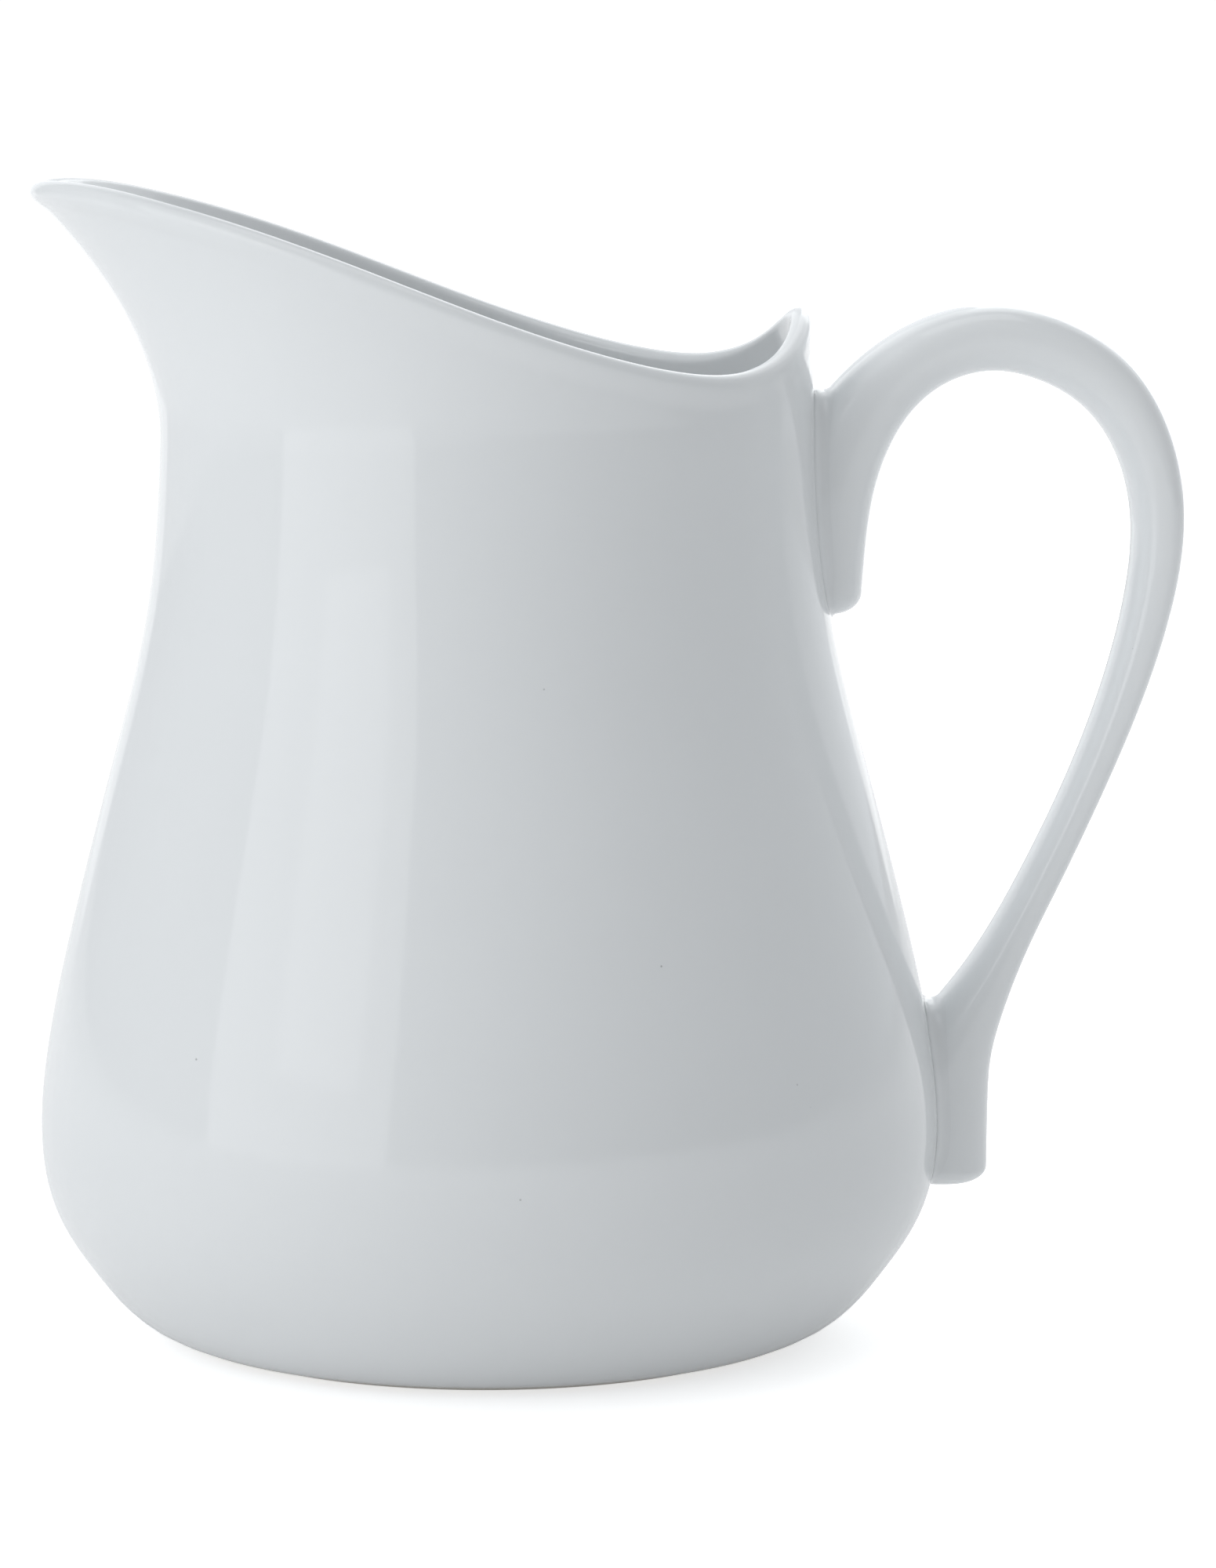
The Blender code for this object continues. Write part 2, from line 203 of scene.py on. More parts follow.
# Floor: its glow near and far from the pitcher, and what the camera sees on top of it
FLOOR_GLOW_NEAR = 0.13
FLOOR_GLOW_FAR = 0.24
FLOOR_LIFT = 0.46
FLOOR_HALF = 5.0
FLOOR_DROP = 0.0002
FLOOR_GREY = (0.80, 0.80, 0.80, 1)
FLOOR_ROUGHNESS = 0.7
GLOW_REACH = (0.10, 0.60)

# Camera: place, turn and tilt in degrees, lens and sensor in millimetres
CAMERA_PLACE = (-0.0626, -0.9633, 0.2149)
CAMERA_TURN = -3.679
CAMERA_TILT = -7.072
CAMERA_LENS = 128.3
SENSOR_WIDTH = 36.0
CLIP_START = 0.01

# Room: brightness on every side, colour, and what the camera sees behind the pitcher
ROOM_LIGHT = 0.18
ROOM_COLOUR = (0.94, 0.97, 1.0, 1)
SEEN_WHITE = 1.05

# Brighter sides of the room: azimuth, elevation, added brightness
ROOM_SIDES = (
    (-90, 0, 0.22),
    (-45, 10, 0.16),
    (-60, 45, 0.30),
    (135, 15, 0.61),
    (180, 10, 0.45),
    (180, 55, 0.18),
)

# Soft lights: azimuth from the camera's side, elevation, distance, width, height, watts
LIGHT_AIM = (-0.01, 0.0, 0.10)
SOFT_LIGHTS = (
    ("key_left", -52, 13, 1.3, 1.2, 1.05, 3.6),
    ("key_core", -47, 20, 1.25, 0.5, 0.6, 0.45),
    ("high_left", -65, 48, 1.4, 1.0, 1.0, 0.9),
    ("edge_right", 160, 12, 1.3, 0.5, 0.9, 0.8),
    ("edge_left", -164, 12, 1.3, 0.6, 0.9, 0.5),
    ("back_high", 180, 45, 1.5, 1.2, 0.8, 1.0),
    ("back_right", 150, 40, 1.4, 1.0, 1.0, 1.2),
    ("top", 10, 80, 1.4, 0.9, 0.9, 2.6),
)


def spline(knots, values):
    """Smooth curve through the values, with free ends."""
    knots = np.asarray(knots, float)
    values = np.asarray(values, float)
    columns = values.reshape(len(knots), -1)
    gaps = np.diff(knots)
    count = len(knots)
    system = np.eye(count)
    target = np.zeros_like(columns)
    for i in range(1, count - 1):
        system[i, i - 1:i + 2] = gaps[i - 1], 2 * (gaps[i - 1] + gaps[i]), gaps[i]
        rise_after = (columns[i + 1] - columns[i]) / gaps[i]
        rise_before = (columns[i] - columns[i - 1]) / gaps[i - 1]
        target[i] = 6 * (rise_after - rise_before)
    bend = np.linalg.solve(system, target)

    def at(where):
        where = np.atleast_1d(np.asarray(where, float))
        index = np.clip(np.searchsorted(knots, where, side="right") - 1, 0, count - 2)
        gap = gaps[index][:, None]
        ahead = (where - knots[index])[:, None] / gap
        behind = 1 - ahead
        result = behind * columns[index] + ahead * columns[index + 1]
        result += gap ** 2 / 6 * (behind ** 3 - behind) * bend[index]
        result += gap ** 2 / 6 * (ahead ** 3 - ahead) * bend[index + 1]
        return result[:, 0] if values.ndim == 1 else result

    return at


body_radius_at = spline([z for z, _ in BELLY], [r for _, r in BELLY])


def body_radius(height):
    return body_radius_at(np.minimum(height, BELLY[-1][0]))


def ease(fraction):
    return 0.5 - 0.5 * np.cos(math.pi * np.clip(fraction, 0.0, 1.0))


def rim_height(angle):
    height = RIM_LOW + RIM_RISE * ease((angle - RISE_FROM) / (RISE_TO - RISE_FROM))
    height += TAB_HEIGHT * np.exp(-(angle / TAB_SPREAD) ** 2)
    return height - TIP_DIP * ease((angle - TIP_DIP_FROM) / (math.pi - TIP_DIP_FROM))


def rim_radius(angle):
    side = np.sin(np.minimum(angle, math.pi / 2)) ** 2
    base = RIM_RADIUS_BACK + (RIM_RADIUS_SIDE - RIM_RADIUS_BACK) * side
    return base + (SPOUT_REACH - base) * (0.5 - 0.5 * np.cos(angle)) ** SPOUT_TAPER


def add_mesh(name, vertices, faces, materials):
    mesh = bpy.data.meshes.new(name)
    mesh.from_pydata([tuple(map(float, v)) for v in vertices], [], faces)
    mesh.update()
    mesh.shade_smooth()
    for material in materials:
        mesh.materials.append(material)
    obj = bpy.data.objects.new(name, mesh)
    bpy.context.scene.collection.objects.link(obj)
    return obj


def tube_faces(rings, points, start):
    faces = []
    for ring in range(rings - 1):
        for point in range(points):
            following = (point + 1) % points
            low = start + ring * points
            high = low + points
            faces.append((low + point, low + following, high + following, high + point))
    return faces


def fan_faces(centre, start, points, reverse):
    faces = []
    for point in range(points):
        pair = (start + point, start + (point + 1) % points)
        faces.append((centre, pair[1], pair[0]) if reverse else (centre, pair[0], pair[1]))
    return faces


# ---------------------------------------------------------------- body

def belly_levels():
    """Heights spaced evenly along the outer wall, from the foot to the flare."""
    fine = np.linspace(BELLY[1][0], FLARE_START, 2000)
    steps = np.hypot(np.diff(fine), np.diff(body_radius(fine)))
    length = np.concatenate([[0.0], np.cumsum(steps)])
    return np.interp(np.linspace(0, length[-1], BELLY_RINGS), length, fine)


def body_rings():
    even = np.arange(BODY_SEGMENTS) * 2 * math.pi / BODY_SEGMENTS
    angles = even - SEGMENT_CROWDING * np.sin(2 * even)
    folded = np.abs((angles + math.pi) % (2 * math.pi) - math.pi)
    ones = np.ones(len(angles))
    levels = belly_levels()[:, None] * ones
    radii = body_radius(levels.ravel()).reshape(levels.shape)
    top = rim_height(folded)
    flare = rim_radius(folded) - body_radius(top)
    upright = 1 / np.hypot(1, 2 * flare / (top - FLARE_START))
    depth = LIP_ROLL_DEPTH * upright
    share = np.arange(1, FLARE_RINGS + 1)[:, None] / FLARE_RINGS
    rolled = 1 - np.arange(1, ROLL_RINGS + 1)[:, None] / ROLL_RINGS
    flare_z = np.vstack([FLARE_START + share * (top - depth - FLARE_START), top - depth * rolled])
    share = (flare_z - FLARE_START) / (top - FLARE_START)
    flare_r = body_radius(flare_z.ravel()).reshape(flare_z.shape)
    flare_r += (flare - LIP_ROLL * upright) * share ** 2
    roll = np.vstack([0 * levels, LIP_ROLL * ease(1 - (top - flare_z) / depth)])
    radii = np.vstack([radii, flare_r])
    heights = np.vstack([levels, flare_z])

    run = np.gradient(radii, axis=0)
    rise = np.gradient(heights, axis=0)
    length = np.hypot(run, rise)
    inward_r = -rise / length
    inward_z = run / length

    rings = [(r * ones, z * ones) for r, z in FOOT]
    rings += list(zip(radii - roll * inward_r, heights - roll * inward_z))
    middle_r = radii[-1] + (WALL - LIP_ROLL) / 2 * inward_r[-1]
    middle_z = heights[-1] + (WALL - LIP_ROLL) / 2 * inward_z[-1]
    for step in range(1, LIP_STEPS):
        turn = math.pi * step / LIP_STEPS
        out_share = -math.cos(turn) * (WALL + LIP_ROLL) / 2
        up_share = math.sin(turn) * (WALL + LIP_ROLL) / 2
        ring_r = middle_r + out_share * inward_r[-1] + up_share * inward_z[-1]
        ring_z = middle_z + out_share * inward_z[-1] - up_share * inward_r[-1]
        rings.append((ring_r, ring_z))
    thickness = WALL + WALL_EXTRA_LOW * (1 - ease(heights / WALL_EXTRA_TOP))
    inner_r = radii + thickness * inward_r
    inner_z = heights + thickness * inward_z
    keep = heights[:, 0] >= INNER_START
    rings += list(zip(inner_r[keep][::-1], inner_z[keep][::-1]))
    rings += [(r * ones, FLOOR_TOP * ones) for r in FLOOR_RADII]
    return angles, rings


def build_body(glaze, bare):
    angles, rings = body_rings()
    vertices = [(AXIS_X, 0.0, UNDERSIDE_CENTRE)]
    for radii, heights in rings:
        for radius, height, angle in zip(radii, heights, angles):
            vertices.append((AXIS_X + radius * math.cos(angle), radius * math.sin(angle), height))
    vertices.append((AXIS_X, 0.0, FLOOR_TOP))
    faces = tube_faces(len(rings), len(angles), 1)
    faces += fan_faces(0, 1, len(angles), True)
    faces += fan_faces(len(vertices) - 1, 1 + (len(rings) - 1) * len(angles), len(angles), False)
    body = add_mesh("body_porcelain", vertices, faces, (glaze, bare))
    for ring in range(*BARE_RINGS):
        for point in range(len(angles)):
            body.data.polygons[ring * len(angles) + point].material_index = 1
    body.data.set_sharp_from_angle(angle=SHARP_ANGLE)
    return body


# ---------------------------------------------------------------- handle

def end_rows(row, direction, steps, length, power):
    """Shrinking cross-sections that round off one end of the handle."""
    scale = (1 - steps ** power) ** (1 / power)
    centres = row[:2] + direction * (length * steps)[:, None]
    return np.column_stack([centres, row[2] * scale, row[3] * scale])


def handle_sections(count, end_steps, points):
    """Grid of points on the handle skin: station, point around, XYZ."""
    rows = np.array(HANDLE)
    knots = np.concatenate([[0.0], np.cumsum(np.hypot(*np.diff(rows[:, :2], axis=0).T))])
    at = spline(knots, rows)
    where = np.linspace(0.0, knots[-1], count)
    rows = at(where)
    tangent = at(where + SLOPE_STEP)[:, :2] - at(where - SLOPE_STEP)[:, :2]
    tangent /= np.hypot(*tangent.T)[:, None]
    steps = np.sin(np.arange(1, end_steps + 1) / (end_steps + END_CAP_SHARE) * math.pi / 2)
    first = end_rows(rows[0], -tangent[0], steps, UPPER_END_LENGTH, UPPER_END_POWER)
    last = end_rows(rows[-1], tangent[-1], steps, LOWER_END_LENGTH, LOWER_END_POWER)
    tangents = np.vstack([np.tile(tangent[0], (end_steps, 1)), tangent,
                          np.tile(tangent[-1], (end_steps, 1))])
    rows = np.vstack([first[::-1], rows, last])
    turn = np.arange(points) * 2 * math.pi / points
    power = np.where(np.cos(turn) > 0, OUTER_FACE_POWER, FINGER_FACE_POWER)
    across = np.sign(np.cos(turn)) * np.abs(np.cos(turn)) ** (2 / power)
    along_y = np.sign(np.sin(turn)) * np.abs(np.sin(turn)) ** (2 / power)
    outward = np.column_stack([-tangents[:, 1], tangents[:, 0]])
    half_t = (rows[:, 2] / 2)[:, None] * across
    half_w = (rows[:, 3] / 2)[:, None] * along_y
    x = rows[:, 0:1] + outward[:, 0:1] * half_t
    z = rows[:, 1:2] + outward[:, 1:2] * half_t
    return np.stack([x + AXIS_X, half_w, z], axis=-1)


def grid_shell(grid):
    """Vertices and faces of a closed tube with both ends filled."""
    grid = grid[:, ::-1]
    rings, points = grid.shape[:2]
    vertices = [tuple(grid[0].mean(axis=0))]
    vertices += [tuple(p) for p in grid.reshape(-1, 3)]
    vertices.append(tuple(grid[-1].mean(axis=0)))
    faces = tube_faces(rings, points, 1)
    faces += fan_faces(0, 1, points, True)
    faces += fan_faces(len(vertices) - 1, 1 + (rings - 1) * points, points, False)
    return vertices, faces


def build_handle(glaze):
    """Handle whose hidden seats end just inside the jug wall."""
    grid = handle_sections(HANDLE_STATIONS, HANDLE_END_STEPS, HANDLE_POINTS)
    flat = np.hypot(grid[..., 0] - AXIS_X, grid[..., 1])
    seat = body_radius(grid[..., 2].ravel()).reshape(flat.shape) - SEAT_DEPTH
    scale = np.maximum(seat / np.maximum(flat, 1e-6), 1.0)
    grid[..., 0] = AXIS_X + (grid[..., 0] - AXIS_X) * scale
    grid[..., 1] *= scale
    return add_mesh("handle_porcelain", *grid_shell(grid), (glaze,))


# ---------------------------------------------------------------- slip fillets

def wall_radius(height, angle):
    """Outer radius of the jug near the handle, below the lip roll."""
    top = rim_height(abs(angle))
    share = max(0.0, float((height - FLARE_START) / (top - FLARE_START)))
    flare = float(rim_radius(abs(angle)) - body_radius(top)[0])
    return float(body_radius(height)[0]) + (flare - LIP_ROLL) * share ** 2


def wall_contact(point):
    """Nearest spot on the jug's outer wall."""
    flat = math.hypot(point[0] - AXIS_X, point[1])
    angle = math.atan2(point[1], point[0] - AXIS_X)
    height = float(point[2])
    for _ in range(WALL_STEPS):
        radius = wall_radius(height, angle)
        rise = wall_radius(height + SLOPE_STEP, angle) - wall_radius(height - SLOPE_STEP, angle)
        slope = rise / (2 * SLOPE_STEP)
        height += ((flat - radius) * slope + (point[2] - height)) / (1 + slope * slope)
    scale = wall_radius(height, angle) / flat
    return np.array([AXIS_X + (point[0] - AXIS_X) * scale, point[1] * scale, height])


def skin_contact(tree, point):
    """Nearest spot on the handle skin, whether the point is outside it, and the skin's normal."""
    spot, normal, _, _ = tree.find_nearest(Vector(point))
    outside = (Vector(point) - spot).dot(normal) > 0
    return np.array(spot), outside, np.array(normal)


def seat_corner(tree, seat, turn):
    """Where the handle skin meets the wall in one direction from the seat's middle."""
    low, high = CORNER_RANGE
    for _ in range(CORNER_STEPS):
        middle = (low + high) / 2
        height = seat[0] + middle * seat[1] * math.cos(turn)
        y = middle * seat[2] * math.sin(turn)
        radius = wall_radius(height, math.asin(y / BELLY[-1][1]))
        point = np.array([AXIS_X + math.sqrt(radius ** 2 - y ** 2), y, height])
        if skin_contact(tree, point)[1]:
            high = middle
        else:
            low = middle
    return point


def fillet_radius(height, low, high, end_radius, crotch_radius):
    """Radius of the fillet: smaller at the tongue's free end and in the crotch."""
    share = np.clip((height - low) / (high - low), 0.0, 1.0)
    near_end = end_radius + (BEAD_SIDE - end_radius) * ease(share / BEAD_END_SHARE)
    near_crotch = crotch_radius + (BEAD_SIDE - crotch_radius) * ease((1 - share) / BEAD_CROTCH_SHARE)
    return min(float(near_end), float(near_crotch))


def unit(vector):
    return vector / np.linalg.norm(vector)


def rolling_ball(tree, corner, radius):
    """Centre of a ball that touches the wall and the handle, and the direction off the handle."""
    wall_side = unit(np.array([corner[0] - AXIS_X, corner[1], 0.0]))
    _, _, skin_side = skin_contact(tree, corner)
    centre = corner + radius * (wall_side + skin_side) / (1 + float(wall_side @ skin_side))
    for _ in range(BALL_STEPS):
        wall_spot = wall_contact(centre)
        skin_spot, outside, normal = skin_contact(tree, centre)
        to_wall = centre - wall_spot
        to_skin = centre - skin_spot if outside else skin_spot - centre
        wall_side = unit(to_wall)
        skin_side = unit(to_skin) if np.linalg.norm(to_skin) > SMALLEST_GAP else normal
        gap_skin = float((centre - skin_spot) @ skin_side)
        errors = np.array([radius - float(to_wall @ wall_side), radius - gap_skin])
        cosine = float(wall_side @ skin_side)
        shares = np.linalg.solve(np.array([[1, cosine], [cosine, 1]]), errors)
        centre = centre + shares[0] * wall_side + shares[1] * skin_side
    return centre, skin_side


def smooth_loop(values):
    """Evens out small steps along a closed line."""
    for _ in range(SMOOTHING_PASSES):
        values = (np.roll(values, 1, axis=0) + 2 * values + np.roll(values, -1, axis=0)) / 4
    return values


def between(first, second, spread, share):
    """Direction that lies a share of the way from the first to the second."""
    return unit(first * math.sin((1 - share) * spread) + second * math.sin(share * spread))


def fillet_section(tree, centre, corner, free_side):
    """Hollow arc from wall to handle, closed behind by three sunk points, with normals."""
    to_wall = centre - wall_contact(centre)
    skin_spot, outside, _ = skin_contact(tree, centre)
    to_skin = centre - skin_spot
    wall_side = unit(to_wall)
    skin_side = unit(to_skin) if outside else free_side
    wall_gap = np.linalg.norm(to_wall) + EDGE_BITE
    skin_gap = np.linalg.norm(to_skin) + EDGE_BITE
    spread = math.acos(np.clip(float(wall_side @ skin_side), -1, 1))
    points, normals = [], []
    for step in range(FILLET_STEPS + 1):
        share = step / FILLET_STEPS
        gap = (1 - share) * wall_gap + share * skin_gap
        points.append(centre - gap * between(wall_side, skin_side, spread, share))
        share = (1 - NORMAL_LAG) * share + NORMAL_LAG * ease(share)
        normals.append(between(wall_side, skin_side, spread, share))
    points.append(centre - (skin_gap + FILLET_SINK) * skin_side)
    points.append(corner - FILLET_SINK * (wall_side + skin_side))
    points.append(centre - (wall_gap + FILLET_SINK) * wall_side)
    normals += [-skin_side, -unit(wall_side + skin_side), -wall_side]
    return points, normals


def build_fillet(name, tree, seat, glaze):
    """Band of glazed slip all round one tongue of the handle."""
    turns = (np.arange(FILLET_POINTS) + 0.5) / FILLET_POINTS * 2 * math.pi
    corners = np.array([seat_corner(tree, seat, turn) for turn in turns])
    low, high = corners[:, 2].min(), corners[:, 2].max()
    radii = [fillet_radius(corner[2], low, high, *seat[3:]) for corner in corners]
    balls = [rolling_ball(tree, corner, radius) for corner, radius in zip(corners, radii)]
    centres = smooth_loop(np.array([centre for centre, _ in balls]))
    vertices, normals = [], []
    for centre, corner, (_, free_side) in zip(centres, corners, balls):
        section, section_normals = fillet_section(tree, centre, corner, free_side)
        vertices += section
        normals += section_normals
    size = len(section)
    faces = tube_faces(FILLET_POINTS, size, 0)
    last = (FILLET_POINTS - 1) * size
    for point in range(size):
        following = (point + 1) % size
        faces.append((last + point, last + following, following, point))
    fillet = add_mesh(name, vertices, faces, (glaze,))
    middle = FILLET_STEPS // 2
    if np.dot(np.array(fillet.data.polygons[middle].normal), normals[middle]) < 0:
        fillet.data.flip_normals()
    fillet.data.normals_split_custom_set_from_vertices([tuple(n) for n in normals])
    return fillet


# ---------------------------------------------------------------- materials

def node(tree, kind, **values):
    """New shader node with its settings and named inputs filled in."""
    made = tree.nodes.new(kind)
    for key, value in values.items():
        if hasattr(made, key):
            setattr(made, key, value)
        else:
            made.inputs[key.replace("_", " ")].default_value = value
    return made


def mix_colours(tree, share, first, second):
    """Colour mix node; the first colour may be fixed or come from another node."""
    mix = node(tree, "ShaderNodeMix", data_type="RGBA")
    mix.inputs[MIX_SECOND].default_value = second
    tree.links.new(share, mix.inputs[MIX_SHARE])
    if isinstance(first, tuple):
        mix.inputs[MIX_FIRST].default_value = first
    else:
        tree.links.new(first, mix.inputs[MIX_FIRST])
    return mix.outputs[MIX_RESULT]


def glaze_material(name, colour, ripple):
    """Gloss glaze with uneven tone and gloss, slow waves, orange peel and pinholes."""
    material = bpy.data.materials.new(name)
    material.use_nodes = True
    tree = material.node_tree
    link = tree.links.new
    shader = tree.nodes["Principled BSDF"]
    shader.inputs["IOR"].default_value = GLAZE_IOR
    shader.inputs["Metallic"].default_value = 0.0
    place = node(tree, "ShaderNodeTexCoord").outputs["Object"]

    cloud = node(tree, "ShaderNodeTexNoise", Scale=22.0, Detail=3.0, Roughness=0.55)
    link(place, cloud.inputs["Vector"])
    dark, pale = [(*[channel * scale for channel in colour], 1) for scale in TONE_RANGE]
    tone = mix_colours(tree, cloud.outputs["Fac"], dark, pale)

    cells = node(tree, "ShaderNodeTexVoronoi", Scale=85.0)
    link(place, cells.inputs["Vector"])
    speck = node(tree, "ShaderNodeMapRange", clamp=True)
    speck.inputs["From Min"].default_value = SPECK_EDGE[0]
    speck.inputs["From Max"].default_value = SPECK_EDGE[1]
    speck.inputs["To Min"].default_value = 1.0
    speck.inputs["To Max"].default_value = 0.0
    link(cells.outputs["Distance"], speck.inputs["Value"])
    spotted = mix_colours(tree, speck.outputs["Result"], tone, SPECK_COLOUR)
    link(spotted, shader.inputs["Base Color"])

    sheen = node(tree, "ShaderNodeMapRange")
    sheen.inputs["To Min"].default_value = GLAZE_ROUGHNESS[0]
    sheen.inputs["To Max"].default_value = GLAZE_ROUGHNESS[1]
    link(cloud.outputs["Fac"], sheen.inputs["Value"])
    link(sheen.outputs["Result"], shader.inputs["Roughness"])

    wave = node(tree, "ShaderNodeTexNoise", Scale=48.0, Detail=1.0)
    link(place, wave.inputs["Vector"])
    peel = node(tree, "ShaderNodeTexNoise", Scale=520.0, Detail=2.0)
    link(place, peel.inputs["Vector"])
    slow = node(tree, "ShaderNodeBump", Strength=0.5, Distance=ripple)
    link(wave.outputs["Fac"], slow.inputs["Height"])
    fine = node(tree, "ShaderNodeBump", Strength=0.18, Distance=PEEL_DEPTH)
    link(peel.outputs["Fac"], fine.inputs["Height"])
    link(slow.outputs["Normal"], fine.inputs["Normal"])
    pit = node(tree, "ShaderNodeBump", Strength=0.6, Distance=PIT_DEPTH, invert=True)
    link(speck.outputs["Result"], pit.inputs["Height"])
    link(fine.outputs["Normal"], pit.inputs["Normal"])
    link(pit.outputs["Normal"], shader.inputs["Normal"])
    return material


def bare_material():
    """Unglazed porcelain of the foot ring, slightly grainy."""
    material = bpy.data.materials.new("bare_porcelain")
    material.use_nodes = True
    tree = material.node_tree
    shader = tree.nodes["Principled BSDF"]
    shader.inputs["Roughness"].default_value = BARE_ROUGHNESS
    place = node(tree, "ShaderNodeTexCoord").outputs["Object"]
    grain = node(tree, "ShaderNodeTexNoise", Scale=900.0, Detail=4.0)
    tree.links.new(place, grain.inputs["Vector"])
    tone = mix_colours(tree, grain.outputs["Fac"], BARE_DARK, BARE_PALE)
    tree.links.new(tone, shader.inputs["Base Color"])
    bump = node(tree, "ShaderNodeBump", Strength=0.5, Distance=GRAIN_DEPTH)
    tree.links.new(grain.outputs["Fac"], bump.inputs["Height"])
    tree.links.new(bump.outputs["Normal"], shader.inputs["Normal"])
    return material


# ---------------------------------------------------------------- stage

def build_floor():
    """Pale matt floor with a faint glow that is stronger away from the pitcher."""
    half = FLOOR_HALF
    corners = [(-half, -half, 0), (half, -half, 0), (half, half, 0), (-half, half, 0)]
    material = bpy.data.materials.new("pale_floor")
    material.use_nodes = True
    shader = material.node_tree.nodes["Principled BSDF"]
    shader.inputs["Base Color"].default_value = FLOOR_GREY
    shader.inputs["Roughness"].default_value = FLOOR_ROUGHNESS
    shader.inputs["Emission Color"].default_value = (1, 1, 1, 1)
    tree = material.node_tree
    place = node(tree, "ShaderNodeTexCoord").outputs["Object"]
    reach = node(tree, "ShaderNodeVectorMath", operation="LENGTH")
    tree.links.new(place, reach.inputs[0])
    glow = node(tree, "ShaderNodeMapRange", interpolation_type="SMOOTHSTEP")
    glow.inputs["From Min"].default_value = GLOW_REACH[0]
    glow.inputs["From Max"].default_value = GLOW_REACH[1]
    glow.inputs["To Min"].default_value = FLOOR_GLOW_NEAR
    glow.inputs["To Max"].default_value = FLOOR_GLOW_FAR
    tree.links.new(reach.outputs["Value"], glow.inputs["Value"])
    path = node(tree, "ShaderNodeLightPath")
    lift = node(tree, "ShaderNodeMath", operation="MULTIPLY_ADD")
    lift.inputs[1].default_value = FLOOR_LIFT
    tree.links.new(path.outputs["Is Camera Ray"], lift.inputs[0])
    tree.links.new(glow.outputs["Result"], lift.inputs[2])
    tree.links.new(lift.outputs["Value"], shader.inputs["Emission Strength"])
    floor = add_mesh("floor", corners, [(0, 1, 2, 3)], (material,))
    floor.location.z = -FLOOR_DROP


def toward(azimuth, elevation):
    """Unit direction away from the jug. Azimuth 0 is the camera's side, positive to the right."""
    turn, rise = math.radians(azimuth), math.radians(elevation)
    return Vector((math.sin(turn) * math.cos(rise), -math.cos(turn) * math.cos(rise), math.sin(rise)))


def build_world():
    """White room that is brighter on some sides; the camera sees plain white."""
    world = bpy.data.worlds.new("studio")
    bpy.context.scene.world = world
    world.use_nodes = True
    tree = world.node_tree
    tree.nodes.clear()
    link = tree.links.new
    out = node(tree, "ShaderNodeOutputWorld")
    room = node(tree, "ShaderNodeBackground")
    seen = node(tree, "ShaderNodeBackground")
    seen.inputs["Color"].default_value = (1, 1, 1, 1)
    seen.inputs["Strength"].default_value = SEEN_WHITE
    pick = node(tree, "ShaderNodeMixShader")
    path = node(tree, "ShaderNodeLightPath")
    link(path.outputs["Is Camera Ray"], pick.inputs[0])
    link(room.outputs[0], pick.inputs[1])
    link(seen.outputs[0], pick.inputs[2])
    link(pick.outputs[0], out.inputs["Surface"])
    room.inputs["Color"].default_value = ROOM_COLOUR
    place = node(tree, "ShaderNodeTexCoord").outputs["Generated"]
    total = node(tree, "ShaderNodeValue").outputs[0]
    total.default_value = ROOM_LIGHT
    for azimuth, elevation, strength in ROOM_SIDES:
        facing = node(tree, "ShaderNodeVectorMath", operation="DOT_PRODUCT")
        link(place, facing.inputs[0])
        facing.inputs[1].default_value = toward(azimuth, elevation)
        lobe = node(tree, "ShaderNodeMath", operation="MAXIMUM")
        link(facing.outputs["Value"], lobe.inputs[0])
        lobe.inputs[1].default_value = 0.0
        square = node(tree, "ShaderNodeMath", operation="MULTIPLY")
        link(lobe.outputs[0], square.inputs[0])
        link(lobe.outputs[0], square.inputs[1])
        add = node(tree, "ShaderNodeMath", operation="MULTIPLY_ADD")
        link(square.outputs[0], add.inputs[0])
        add.inputs[1].default_value = strength
        link(total, add.inputs[2])
        total = add.outputs[0]
    link(total, room.inputs["Strength"])


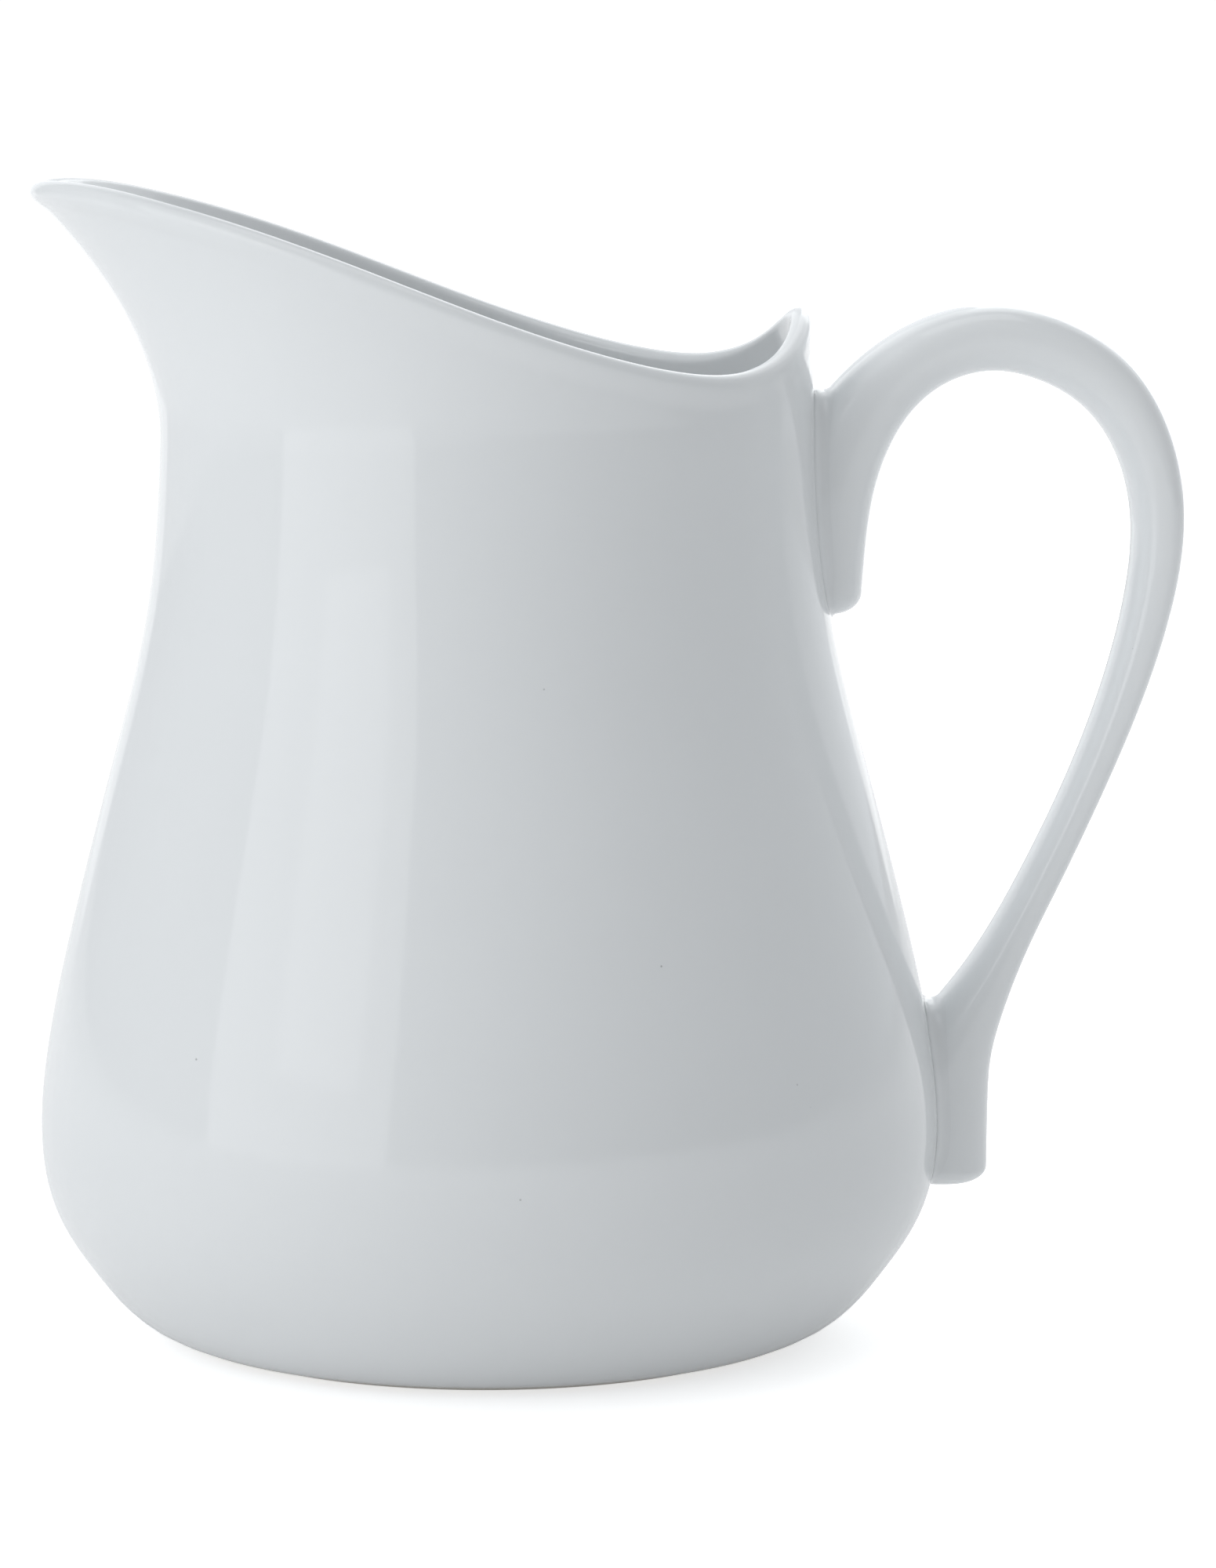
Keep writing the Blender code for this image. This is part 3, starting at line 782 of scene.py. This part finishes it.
def area_light(name, azimuth, elevation, distance, width, height, power):
    """Soft rectangular light aimed at the middle of the jug."""
    away = toward(azimuth, elevation)
    data = bpy.data.lights.new(name, "AREA")
    data.shape = "RECTANGLE"
    data.size = width
    data.size_y = height
    data.energy = power
    light = bpy.data.objects.new(name, data)
    light.location = Vector(LIGHT_AIM) + away * distance
    light.rotation_mode = "QUATERNION"
    light.rotation_quaternion = away.to_track_quat("Z", "Y")
    light.visible_camera = False
    bpy.context.scene.collection.objects.link(light)


def build_camera():
    data = bpy.data.cameras.new("camera")
    data.lens = CAMERA_LENS
    data.sensor_width = SENSOR_WIDTH
    data.clip_start = CLIP_START
    camera = bpy.data.objects.new("camera", data)
    camera.location = CAMERA_PLACE
    camera.rotation_mode = "QUATERNION"
    turn, tilt = math.radians(CAMERA_TURN), math.radians(CAMERA_TILT)
    level = math.cos(tilt)
    forward = Vector((-math.sin(turn) * level, math.cos(turn) * level, math.sin(tilt)))
    camera.rotation_quaternion = forward.to_track_quat("-Z", "Y")
    bpy.context.scene.collection.objects.link(camera)
    bpy.context.scene.camera = camera


def main():
    bpy.context.scene.view_settings.view_transform = "Standard"
    build_camera()
    body_glaze = glaze_material("body_glaze", BODY_COLOUR, BODY_RIPPLE)
    # Lighter copy of the body glaze for the handle: painted light for light through the thin
    # porcelain.
    handle_glaze = glaze_material("handle_glaze", HANDLE_PAINTED_LIGHT_COLOUR, HANDLE_RIPPLE)
    # Slip glaze lifted halfway towards the handle: painted light blending the body into the handle.
    slip_glaze = glaze_material("slip_glaze", SLIP_HALF_PAINTED_LIGHT_COLOUR, SLIP_RIPPLE)

    body = build_body(body_glaze, bare_material())
    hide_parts("jug_body")
    handle = build_handle(handle_glaze)
    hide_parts("handle")

    vertices, faces = grid_shell(handle_sections(*FINE_SKIN))
    tree = BVHTree.FromPolygons(vertices, faces)
    upper = build_fillet("upper_slip_fillet", tree, UPPER_SEAT, slip_glaze)
    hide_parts("upper_slip_bead")
    lower = build_fillet("lower_slip_fillet", tree, LOWER_SEAT, slip_glaze)
    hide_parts("lower_slip_bead")
    for piece in (body, handle, upper, lower):
        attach(piece, "root")

    build_floor()
    build_world()
    for light in SOFT_LIGHTS:
        area_light(*light)


main()
